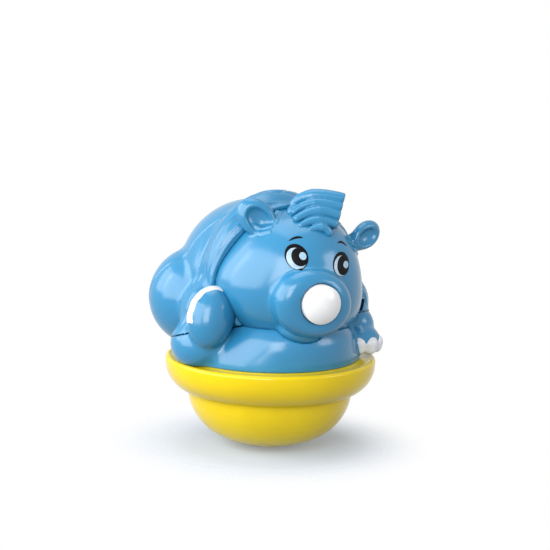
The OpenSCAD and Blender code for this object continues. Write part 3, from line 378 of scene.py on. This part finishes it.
def skin(field, low, high, pitch):
    low = np.array(low, float)
    n = np.ceil((np.array(high, float) - low) / pitch).astype(int) + 1
    values = np.empty(n, np.float32)
    ys, zs = np.meshgrid(np.arange(n[1]), np.arange(n[2]), indexing="ij")
    for start in range(0, n[0], 16):
        stop = min(start + 16, n[0])
        xs = np.arange(start, stop)
        grid = np.empty((len(xs), n[1], n[2], 3))
        grid[..., 0] = xs[:, None, None]
        grid[..., 1] = ys
        grid[..., 2] = zs
        values[start:stop] = field(low + grid * pitch)
    inside = values < 0
    count = np.zeros(n - 1, np.int8)
    for i, j, k in CORNERS:
        count += inside[i:n[0] - 1 + i, j:n[1] - 1 + j, k:n[2] - 1 + k]
    cells = np.argwhere((count > 0) & (count < 8))
    index = np.full(count.shape, -1, np.int64)
    index[tuple(cells.T)] = np.arange(len(cells))
    corner = np.stack([values[tuple((cells + c).T)] for c in CORNERS], 1)
    total = np.zeros((len(cells), 3))
    hits = np.zeros(len(cells))
    for a, b in EDGES:
        va, vb = corner[:, a], corner[:, b]
        cut = (va < 0) != (vb < 0)
        t = np.where(cut, va / np.where(cut, va - vb, 1), 0)
        point = np.array(CORNERS[a]) + t[:, None] * (np.array(CORNERS[b]) - np.array(CORNERS[a]))
        total += point * cut[:, None]
        hits += cut
    points = low + (cells + total / hits[:, None]) * pitch
    faces = []
    for axis in range(3):
        u, v = [(1, 2), (2, 0), (0, 1)][axis]
        first = [slice(1, -1)] * 3
        second = [slice(1, -1)] * 3
        first[axis] = slice(0, -1)
        second[axis] = slice(1, None)
        one, two = inside[tuple(first)], inside[tuple(second)]
        spots = np.argwhere(one != two) + 1
        spots[:, axis] -= 1
        flip = two[one != two]
        ring = []
        for du, dv in ((0, 0), (1, 0), (1, 1), (0, 1)):
            c = spots.copy()
            c[:, u] -= 1 - du
            c[:, v] -= 1 - dv
            ring.append(index[tuple(c.T)])
        quad = np.stack(ring, 1)
        quad[flip] = quad[flip][:, ::-1]
        faces.append(quad)
    faces = np.concatenate(faces)
    for _ in range(3):
        value = field(points)
        slope = np.stack([(field(points + e) - field(points - e)) / 0.1 for e in np.eye(3) * 0.05], 1)
        step = value[:, None] * slope / np.maximum((slope ** 2).sum(1), 0.25)[:, None]
        points = points - np.clip(step, -0.4 * pitch, 0.4 * pitch)
    return points, faces


def piece(name, points, faces, material, body="toy", replaces=(), slot=None):
    mesh = bpy.data.meshes.new(name)
    mesh.from_pydata((np.asarray(points) * MM).tolist(), [], [list(map(int, f)) for f in faces])
    mesh.polygons.foreach_set("use_smooth", [True] * len(mesh.polygons))
    mesh.update()
    obj = bpy.data.objects.new(name, mesh)
    bpy.context.scene.collection.objects.link(obj)
    mesh.materials.append(material)
    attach(obj, body)
    for node in replaces:
        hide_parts(node)
    return obj


# Shader groups that more than one finish shares
def group(name, inputs, outputs):
    tree = bpy.data.node_groups.new(name, "ShaderNodeTree")
    for label, kind, value in inputs:
        socket = tree.interface.new_socket(label, in_out="INPUT", socket_type=kind)
        socket.default_value = value
    for label, kind in outputs:
        tree.interface.new_socket(label, in_out="OUTPUT", socket_type=kind)
    return tree, tree.nodes.new("NodeGroupInput"), tree.nodes.new("NodeGroupOutput")


def colour_drift():
    """Slow flow marks of a moulded colour."""
    takes = [("Base", "NodeSocketColor", (1, 1, 1, 1)), ("Deep", "NodeSocketColor", (1, 1, 1, 1)),
             ("Scale", "NodeSocketFloat", 60.0)]
    tree, ins, outs = group("colour_drift", takes, [("Color", "NodeSocketColor")])
    n, link = tree.nodes, tree.links
    place = n.new("ShaderNodeTexCoord")
    noise = n.new("ShaderNodeTexNoise")
    noise.inputs["Detail"].default_value = 3
    noise.inputs["Roughness"].default_value = 0.55
    mix = n.new("ShaderNodeMix")
    mix.data_type = "RGBA"
    spread = n.new("ShaderNodeMapRange")
    spread.inputs["From Min"].default_value = 0.35
    spread.inputs["From Max"].default_value = 0.7
    link.new(place.outputs["Object"], noise.inputs["Vector"])
    link.new(ins.outputs["Scale"], noise.inputs["Scale"])
    link.new(noise.outputs["Fac"], spread.inputs["Value"])
    link.new(spread.outputs["Result"], mix.inputs["Factor"])
    link.new(ins.outputs["Base"], mix.inputs["A"])
    link.new(ins.outputs["Deep"], mix.inputs["B"])
    link.new(mix.outputs["Result"], outs.inputs["Color"])
    return tree


def handling_haze():
    """Patches where hands have dulled or polished a gloss surface."""
    takes = [("Low", "NodeSocketFloat", 0.15), ("High", "NodeSocketFloat", 0.3),
             ("Scale", "NodeSocketFloat", 90.0)]
    tree, ins, outs = group("handling_haze", takes, [("Roughness", "NodeSocketFloat")])
    n, link = tree.nodes, tree.links
    place = n.new("ShaderNodeTexCoord")
    noise = n.new("ShaderNodeTexNoise")
    noise.inputs["Detail"].default_value = 5
    noise.inputs["Roughness"].default_value = 0.65
    spread = n.new("ShaderNodeMapRange")
    spread.inputs["From Min"].default_value = 0.3
    spread.inputs["From Max"].default_value = 0.75
    link.new(place.outputs["Object"], noise.inputs["Vector"])
    link.new(ins.outputs["Scale"], noise.inputs["Scale"])
    link.new(noise.outputs["Fac"], spread.inputs["Value"])
    link.new(ins.outputs["Low"], spread.inputs["To Min"])
    link.new(ins.outputs["High"], spread.inputs["To Max"])
    link.new(spread.outputs["Result"], outs.inputs["Roughness"])
    return tree


def mould_grain():
    """Fine grain that a mould leaves, as a height."""
    takes = [("Scale", "NodeSocketFloat", 900.0), ("Depth", "NodeSocketFloat", 1.0)]
    tree, ins, outs = group("mould_grain", takes, [("Height", "NodeSocketFloat")])
    n, link = tree.nodes, tree.links
    place = n.new("ShaderNodeTexCoord")
    fine = n.new("ShaderNodeTexNoise")
    fine.inputs["Detail"].default_value = 2
    wave = n.new("ShaderNodeTexNoise")
    wave.inputs["Detail"].default_value = 1
    wave.inputs["Scale"].default_value = 55
    both = n.new("ShaderNodeMath")
    both.operation = "MULTIPLY_ADD"
    both.inputs[1].default_value = 2.5
    depth = n.new("ShaderNodeMath")
    depth.operation = "MULTIPLY"
    link.new(place.outputs["Object"], fine.inputs["Vector"])
    link.new(place.outputs["Object"], wave.inputs["Vector"])
    link.new(ins.outputs["Scale"], fine.inputs["Scale"])
    link.new(wave.outputs["Fac"], both.inputs[0])
    link.new(fine.outputs["Fac"], both.inputs[2])
    link.new(both.outputs[0], depth.inputs[0])
    link.new(ins.outputs["Depth"], depth.inputs[1])
    link.new(depth.outputs[0], outs.inputs["Height"])
    return tree


DRIFT, HAZE, GRAIN = colour_drift(), handling_haze(), mould_grain()


def finish(name, base, deep, low, high, bump=0.05, grain=900.0, drift=60.0, haze=90.0, **sockets):
    mat = bpy.data.materials.new(name)
    mat.use_nodes = True
    n, link = mat.node_tree.nodes, mat.node_tree.links
    shader = n["Principled BSDF"]
    colour = n.new("ShaderNodeGroup")
    colour.node_tree = DRIFT
    colour.inputs["Base"].default_value = (*base, 1)
    colour.inputs["Deep"].default_value = (*deep, 1)
    colour.inputs["Scale"].default_value = drift
    rough = n.new("ShaderNodeGroup")
    rough.node_tree = HAZE
    rough.inputs["Low"].default_value = low
    rough.inputs["High"].default_value = high
    rough.inputs["Scale"].default_value = haze
    height = n.new("ShaderNodeGroup")
    height.node_tree = GRAIN
    height.inputs["Scale"].default_value = grain
    relief = n.new("ShaderNodeBump")
    relief.inputs["Strength"].default_value = bump
    relief.inputs["Distance"].default_value = 0.0002
    link.new(colour.outputs["Color"], shader.inputs["Base Color"])
    link.new(rough.outputs["Roughness"], shader.inputs["Roughness"])
    link.new(height.outputs["Height"], relief.inputs["Height"])
    link.new(relief.outputs["Normal"], shader.inputs["Normal"])
    for label, value in sockets.items():
        shader.inputs[label.replace("_", " ")].default_value = value
    return mat


BLUE = finish("blue_gloss_shell", (0.022, 0.18, 0.345), (0.018, 0.168, 0.325), 0.17, 0.25, IOR=1.5)
YELLOW = finish("yellow_gloss_base", (0.615, 0.455, 0.0), (0.585, 0.418, 0.0), 0.16, 0.25,
                Specular_IOR_Level=0.3)
WHITE = finish("white_button_plastic", (0.66, 0.665, 0.67), (0.63, 0.64, 0.65), 0.2, 0.28)
NAIL = finish("white_toenail_paint", (0.6, 0.61, 0.63), (0.56, 0.57, 0.59), 0.22, 0.34)
INK = finish("black_eye_print", (0.004, 0.004, 0.005), (0.006, 0.006, 0.007), 0.3, 0.4,
             Specular_IOR_Level=0.06)
EYE_WHITE = finish("white_eye_print", (0.28, 0.39, 0.49), (0.26, 0.37, 0.47), 0.2, 0.3)
EYE_BLUE = finish("pale_blue_eye_print", (0.28, 0.42, 0.54), (0.26, 0.39, 0.52), 0.2, 0.3)
BLACK = finish("black_moulding", (0.02, 0.02, 0.022), (0.03, 0.03, 0.032), 0.4, 0.55, bump=0.15)
STEEL = finish("zinc_screw_steel", (0.62, 0.62, 0.63), (0.5, 0.5, 0.52), 0.25, 0.45, Metallic=1.0)
SPRING = finish("bright_spring_wire", (0.66, 0.66, 0.67), (0.55, 0.55, 0.56), 0.2, 0.35, Metallic=1.0)
IRON = finish("cast_weight", (0.16, 0.155, 0.15), (0.1, 0.095, 0.09), 0.5, 0.75,
              bump=0.6, grain=500.0, Metallic=0.8)
BOARD = finish("green_board_lacquer", (0.02, 0.17, 0.06), (0.015, 0.13, 0.05), 0.25, 0.4)
CELL = finish("cell_sleeve", (0.05, 0.2, 0.1), (0.04, 0.16, 0.08), 0.2, 0.35)
LENS = finish("clear_led_lens", (0.85, 0.9, 0.95), (0.8, 0.86, 0.92), 0.05, 0.12, Transmission_Weight=0.8)
CONE = finish("paper_cone", (0.03, 0.03, 0.03), (0.05, 0.05, 0.05), 0.7, 0.9, bump=0.5, grain=1500.0)
RED = finish("red_wire_cover", (0.5, 0.02, 0.015), (0.42, 0.015, 0.012), 0.35, 0.5)
CAN = finish("plated_can", (0.6, 0.45, 0.15), (0.5, 0.36, 0.12), 0.25, 0.4, Metallic=1.0)

for name, node in nodes.items():
    if name in ("head_shell", "back_shell", "belly_shell", "button_guide"):
        mat = BLUE
    elif name in ("base_rim", "base_bowl"):
        mat = YELLOW
    elif name in ("nose_button", "switch_knob"):
        mat = WHITE
    elif name.endswith("_screws") or name == "weight_screw":
        mat = STEEL
    elif "spring" in name or name in ("contact_plates", "speaker_basket"):
        mat = SPRING
    elif name in ("counterweight", "speaker_magnet"):
        mat = IRON
    elif name.endswith("_board"):
        mat = BOARD
    elif name.startswith("cell_"):
        mat = CELL
    elif name in ("nose_leads", "battery_leads"):
        mat = RED
    else:
        mat = {"nose_led": LENS, "speaker_cone": CONE, "tilt_sensor": CAN}.get(name, BLACK)
    node.data.materials.clear()
    node.data.materials.append(mat)

PITCH = 0.45
NAIL_PITCH = 0.35
LOCK_BOX = 13
piece("calf_head", *skin(head_field, (-30, -40, 32), (32, 6, 90), PITCH), BLUE,
      replaces=["head_shell"], slot="blue_shell")
lock_at = from_head((0, -6, 25))
piece("calf_forelock", *skin(forelock_field, lock_at - LOCK_BOX, lock_at + LOCK_BOX, PITCH / 2), BLUE,
      slot="blue_shell")
piece("calf_back", *skin(back_field, (-38, -20, 29), (38, 42, 88), PITCH), BLUE,
      replaces=["back_shell"], slot="blue_shell")
piece("calf_belly", *skin(belly_field, (-40, -34, 29), (38, 33, 60), PITCH), BLUE,
      replaces=["belly_shell"], slot="blue_shell")


# White toenails stand a hair proud of the toes
NAIL_R_PROUD, NAIL_L_PROUD = 0.15, 0.12
NAIL_L_LOW = 1.8
NAIL_R_MID, NAIL_R_HALF = -0.9, 2.2
NAIL_R_IN, NAIL_R_LOW = 1.5, -3.5


def nails_field(side):
    def field(p):
        toes = toe_fields(p, side)
        d = toes[0]
        for toe in toes[1:]:
            d = join(d, toe, 0.6)
        if side > 0:
            return np.maximum(d - NAIL_L_PROUD, DECK_Z + NAIL_L_LOW - p[..., 2])
        q = (p - FOOT_R_AT) @ FOOT_R_AXES
        d = join(d, egg(p, FOOT_R_AT, FOOT_R_R, FOOT_R_AXES), 0.6) - NAIL_R_PROUD
        d = np.maximum(d, np.abs(q[..., 1] - NAIL_R_MID) - NAIL_R_HALF)
        return np.maximum(d, np.maximum(q[..., 0] - NAIL_R_IN, NAIL_R_LOW - q[..., 2]))
    return field


for name, side, at, box in (("toenails_right", -1, FOOT_R_AT, 13), ("toenails_left", 1, FOOT_L_AT, 11)):
    piece(name, *skin(nails_field(side), at - box, at + box, NAIL_PITCH), NAIL, slot="white_button")


# Eye and brow prints lie on the head's skin
MARCH = 0.54
PRINT_ROOT = 0.15


def on_head(x, z):
    """Y of the head's skin at given places, marching back along the head's Y."""
    y = np.full(np.shape(x), -45.0)
    for _ in range(90):
        y = y + MARCH * np.maximum(head_core(np.stack([x, y, z], -1)), 0)
    return y


def print_patch(name, centre, outline, lift, material, rings=10):
    """A thin print with a closed outline given as (angle -> x, z) offsets from its centre."""
    sides = 72
    angles = np.arange(sides) * 2 * math.pi / sides
    edge = np.array([outline(a) for a in angles])
    grid = [(np.zeros(1), np.zeros(1))]
    for r in range(1, rings + 1):
        grid.append((edge[:, 0] * r / rings, edge[:, 1] * r / rings))
    x = np.concatenate([g[0] for g in grid]) + centre[0]
    z = np.concatenate([g[1] for g in grid]) + centre[1]
    y = on_head(x, z)
    q = np.stack([x, y, z], -1)
    slope = np.stack([head_core(q + e) - head_core(q - e) for e in np.eye(3) * 0.05], 1)
    slope /= np.linalg.norm(slope, axis=1)[:, None]
    top, under = q + slope * lift, q - slope * PRINT_ROOT
    m = len(q)
    faces = []
    for j in range(sides):
        k = (j + 1) % sides
        faces.append((0, 1 + j, 1 + k))
        faces.append((m, m + 1 + k, m + 1 + j))
        for r in range(rings - 1):
            a, b = 1 + r * sides, 1 + (r + 1) * sides
            faces.append((a + j, b + j, b + k, a + k))
            faces.append((m + a + j, m + a + k, m + b + k, m + b + j))
        a = 1 + (rings - 1) * sides
        faces.append((a + j, m + a + j, m + a + k, a + k))
    points = from_head(np.concatenate([top, under]))
    return piece(name, points, faces, material, slot="black_plastic")


def oval(rx, rz, lean=0.0):
    c, s = math.cos(math.radians(lean)), math.sin(math.radians(lean))

    def outline(a):
        x, z = rx * math.cos(a), rz * math.sin(a)
        return x * c - z * s, x * s + z * c
    return outline


def brow(start, middle, end, thick):
    """An arched stroke through three places that tapers to both ends."""
    start, middle, end = (np.array(v, float) for v in (start, middle, end))

    def outline(a):
        t = 0.5 + 0.5 * math.cos(a)
        x, z = (1 - t) ** 2 * start + 2 * t * (1 - t) * (2 * middle - (start + end) / 2) + t * t * end
        return x - middle[0], z - middle[1] + thick / 2 * math.sin(a)
    return outline


# Each eye: place and radii of the outline, then of the pupil and of the glint
EYES = {
    "right": ((-8.6, 10.0), (3.55, 3.75), (0.9, 0.2), (2.55, 2.7), (1.75, 0.7), (1.1, 1.15)),
    "left": ((7.1, 10.65), (3.55, 3.75), (0.8, -0.2), (2.6, 3.0), (1.9, 0.1), (1.15, 1.1)),
}
for side, ((x, z), eye, pupil_at, pupil, glint_at, glint) in EYES.items():
    print_patch("eye_outline_" + side, (x, z), oval(*eye), 0.05, INK)
    print_patch("eye_white_" + side, (x + 0.05, z - 0.5), oval(eye[0] * 0.86, eye[1] * 0.84), 0.08, EYE_WHITE)
    print_patch("eye_pupil_" + side, (x + pupil_at[0], z + pupil_at[1]), oval(*pupil), 0.11, INK)
    print_patch("eye_glint_" + side, (x + glint_at[0], z + glint_at[1]), oval(*glint), 0.14, EYE_BLUE)
print_patch("brow_right", (-9.0, 15.5), brow((-11.0, 14.0), (-9.0, 15.5), (-6.9, 16.0), 0.65), 0.06, INK)
print_patch("brow_left", (7.4, 17.1), brow((5.4, 16.7), (7.4, 17.1), (9.7, 16.1), 0.6), 0.06, INK)


# Floor and light
def plane(name, size, at, material):
    mesh = bpy.data.meshes.new(name)
    s = size / 2
    mesh.from_pydata([(-s, -s, 0), (s, -s, 0), (s, s, 0), (-s, s, 0)], [], [(0, 1, 2, 3)])
    mesh.materials.append(material)
    obj = bpy.data.objects.new(name, mesh)
    obj.location = at
    bpy.context.scene.collection.objects.link(obj)


def floor_finish():
    """White board that fades into the backdrop away from the object, tinted blue as painted light that
    cancels the yellow light the base bounces onto it.
    """
    mat = bpy.data.materials.new("pale_floor")
    mat.use_nodes = True
    n, link = mat.node_tree.nodes, mat.node_tree.links
    board = n["Principled BSDF"]
    # The blue in this colour is painted light: it cancels the yellow light that the base bounces onto the
    # floor
    board.inputs["Base Color"].default_value = (0.46, 0.53, 0.64, 1)
    board.inputs["Roughness"].default_value = 0.7
    board.inputs["Specular IOR Level"].default_value = 0.1
    place = n.new("ShaderNodeTexCoord")
    reach = n.new("ShaderNodeVectorMath")
    reach.operation = "LENGTH"
    fade = n.new("ShaderNodeMapRange")
    fade.interpolation_type = "SMOOTHSTEP"
    fade.inputs["From Min"].default_value = 0.022
    fade.inputs["From Max"].default_value = 0.056
    fade.inputs["To Min"].default_value = 0.2
    clear = n.new("ShaderNodeBsdfTransparent")
    mix = n.new("ShaderNodeMixShader")
    link.new(place.outputs["Object"], reach.inputs[0])
    link.new(reach.outputs["Value"], fade.inputs["Value"])
    link.new(fade.outputs["Result"], mix.inputs["Fac"])
    link.new(board.outputs["BSDF"], mix.inputs[1])
    link.new(clear.outputs["BSDF"], mix.inputs[2])
    link.new(mix.outputs["Shader"], n["Material Output"].inputs["Surface"])
    return mat


def world_light():
    world = bpy.data.worlds.new("studio")
    bpy.context.scene.world = world
    world.use_nodes = True
    n, link = world.node_tree.nodes, world.node_tree.links
    n.clear()
    out = n.new("ShaderNodeOutputWorld")
    light = n.new("ShaderNodeBackground")
    light.inputs["Color"].default_value = (0.97, 0.985, 1.0, 1)
    light.inputs["Strength"].default_value = 0.42
    shown = n.new("ShaderNodeBackground")
    shown.inputs["Color"].default_value = (1, 1, 1, 1)
    shown.inputs["Strength"].default_value = 1.0
    path = n.new("ShaderNodeLightPath")
    pick = n.new("ShaderNodeMixShader")
    seen = path.outputs["Is Camera Ray"]
    for ray in ("Is Glossy Ray", "Is Transmission Ray"):
        either = n.new("ShaderNodeMath")
        either.operation = "MAXIMUM"
        link.new(seen, either.inputs[0])
        link.new(path.outputs[ray], either.inputs[1])
        seen = either.outputs[0]
    link.new(seen, pick.inputs["Fac"])
    link.new(light.outputs[0], pick.inputs[1])
    link.new(shown.outputs[0], pick.inputs[2])
    link.new(pick.outputs[0], out.inputs["Surface"])


def softbox(name, at, aim, size, power):
    lamp = bpy.data.lights.new(name, "AREA")
    lamp.shape = "RECTANGLE"
    lamp.size, lamp.size_y = size
    lamp.energy = power
    obj = bpy.data.objects.new(name, lamp)
    obj.location = at
    obj.rotation_euler = (Vector(aim) - Vector(at)).to_track_quat("-Z", "Y").to_euler()
    bpy.context.scene.collection.objects.link(obj)


plane("floor", 3.0, (0, 0, -0.0002), floor_finish())
world_light()
softbox("left_panel", (-0.62, 0.02, 0.3), (0, 0, 0.05), (0.7, 0.6), 6.0)
softbox("rear_window", (-0.5, 0.46, 0.34), (0, 0, 0.05), (0.4, 0.5), 2.3)
softbox("front_window", (-0.5, -0.5, 0.32), (0, 0, 0.05), (0.32, 0.5), 3.9)
softbox("top_softbox", (0.0, 0.1, 0.9), (0, 0, 0.04), (0.6, 0.6), 2.6)
softbox("fill_softbox", (0.55, -0.7, 0.35), (0, 0, 0.045), (0.4, 0.4), 2.5)


# Camera at the photograph's viewing angle
def camera():
    az, el, roll = math.radians(-35), math.radians(9.4), math.radians(1.4)
    back_dir = Vector((math.sin(az) * math.cos(el), -math.cos(az) * math.cos(el), math.sin(el)))
    right = Vector((math.cos(az), math.sin(az), 0))
    up = back_dir.cross(right)
    right2 = right * math.cos(roll) + up * math.sin(roll)
    up2 = up * math.cos(roll) - right * math.sin(roll)
    data = bpy.data.cameras.new("photo_camera")
    data.sensor_width = 36
    data.lens = 118.37
    data.shift_x = 0.0045
    data.shift_y = -0.0007
    obj = bpy.data.objects.new("photo_camera", data)
    place = Matrix((right2, up2, back_dir)).transposed().to_4x4()
    place.translation = Vector((0, 0, 0.057)) + back_dir * 0.6
    obj.matrix_world = place
    bpy.context.scene.collection.objects.link(obj)
    bpy.context.scene.camera = obj


camera()
bpy.context.scene.view_settings.view_transform = "Standard"
